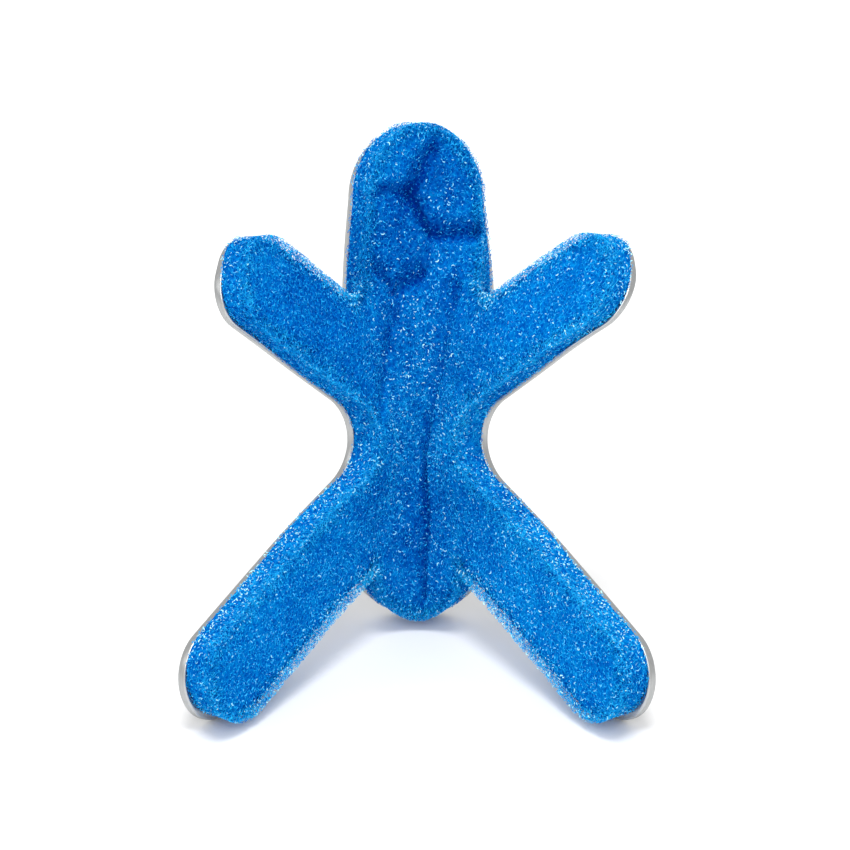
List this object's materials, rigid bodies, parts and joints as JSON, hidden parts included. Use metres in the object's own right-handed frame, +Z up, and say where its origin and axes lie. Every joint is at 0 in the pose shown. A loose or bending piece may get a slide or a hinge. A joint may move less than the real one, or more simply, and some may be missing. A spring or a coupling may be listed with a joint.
{
  "type": "finger splint",
  "caption": "Four-limbed aluminium finger splint with a rounded head and tail, lined with a blue open-cell foam pad and bent into a trough that cradles the finger.",
  "frame": {"origin": "on the floor, under the middle of the standing splint's box", "axes": "+X to the right as the padded side is seen, -Y the way the padded side faces, +Z up"},
  "size_m": [0.0586, 0.052, 0.0645],
  "materials": {
    "aluminium": "satin",
    "foam": "matte"
  },
  "bodies": {
    "root": {"aluminium_plate": "aluminium", "foam_pad": "foam"}
  },
  "joints": []
}
